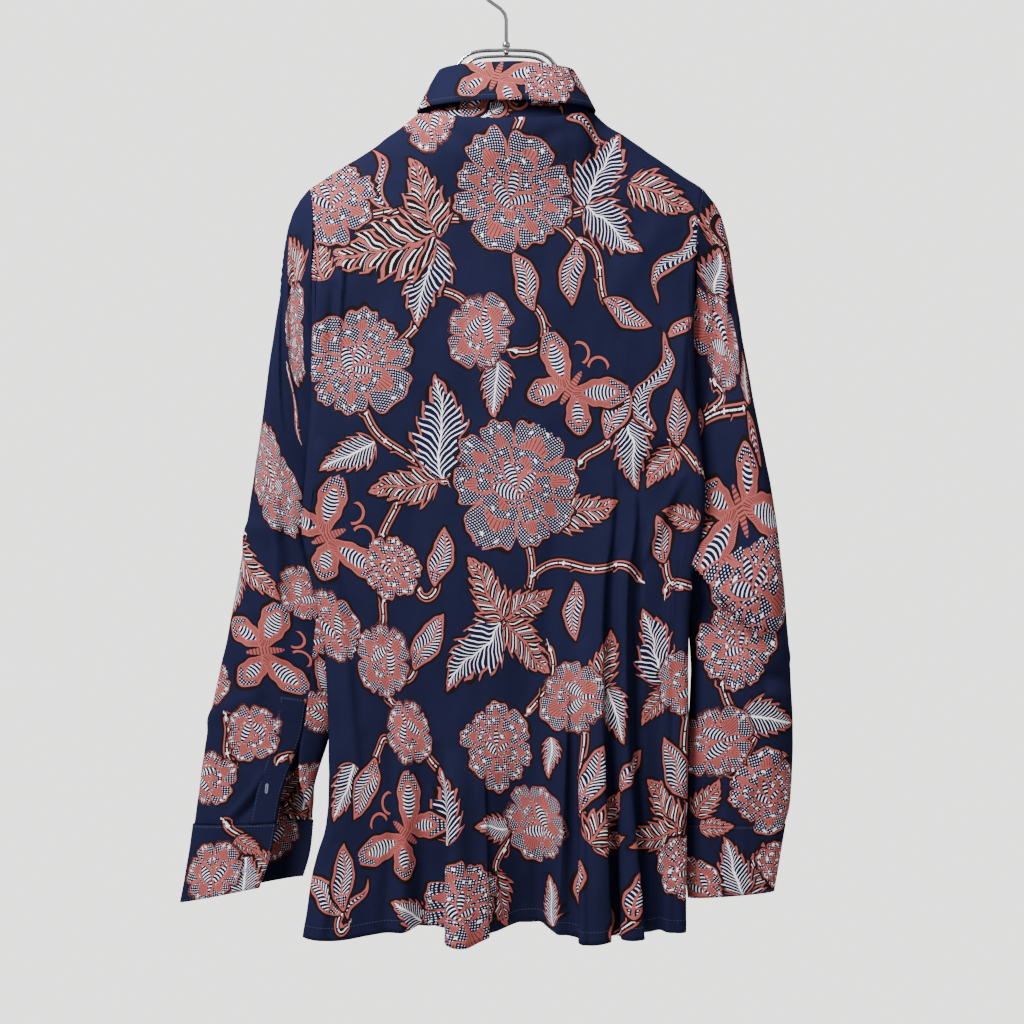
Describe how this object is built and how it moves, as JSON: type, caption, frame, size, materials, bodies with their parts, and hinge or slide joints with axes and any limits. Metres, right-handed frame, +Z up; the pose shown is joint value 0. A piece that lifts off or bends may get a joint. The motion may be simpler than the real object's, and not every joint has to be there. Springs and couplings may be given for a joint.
{
  "type": "batik shirt on a hanger",
  "caption": "Long-sleeved collared batik shirt with a navy and coral floral print, hanging on a thin chrome wire hanger, one cuff undone.",
  "frame": {"origin": "the inside top of the hanger's hook, where the rail or peg that carries it touches the wire", "axes": "+Z up, +X to the wearer's right, -Y is the way the shirt's back faces, so the front faces +Y"},
  "size_m": [0.541, 0.1003, 0.868],
  "materials": {
    "batik_cloth": "matt cotton, navy with a coral and white floral batik print",
    "button": "dark four-hole shirt button, soft gloss",
    "chrome_wire": "bright chrome-plated steel wire"
  },
  "bodies": {
    "root": {"back": "batik_cloth", "front_left": "batik_cloth", "front_right": "batik_cloth", "collar_stand": "batik_cloth", "collar_fall": "batik_cloth", "sleeve_left": "batik_cloth", "sleeve_right": "batik_cloth", "cuff_left": "batik_cloth", "cuff_right": "batik_cloth", "placket_left": "batik_cloth", "placket_right": "batik_cloth", "button_front_1": "button", "button_front_2": "button", "button_front_3": "button", "button_front_4": "button", "button_front_5": "button", "button_front_6": "button", "button_collar": "button", "button_cuff_left": "button", "button_cuff_right": "button", "button_placket_left": "button", "button_placket_right": "button", "hanger_hook": "chrome_wire", "hanger_ferrule": "chrome_wire", "hanger_arch": "chrome_wire", "hanger_bar": "chrome_wire", "hanger_rivet": "chrome_wire"}
  },
  "joints": []
}
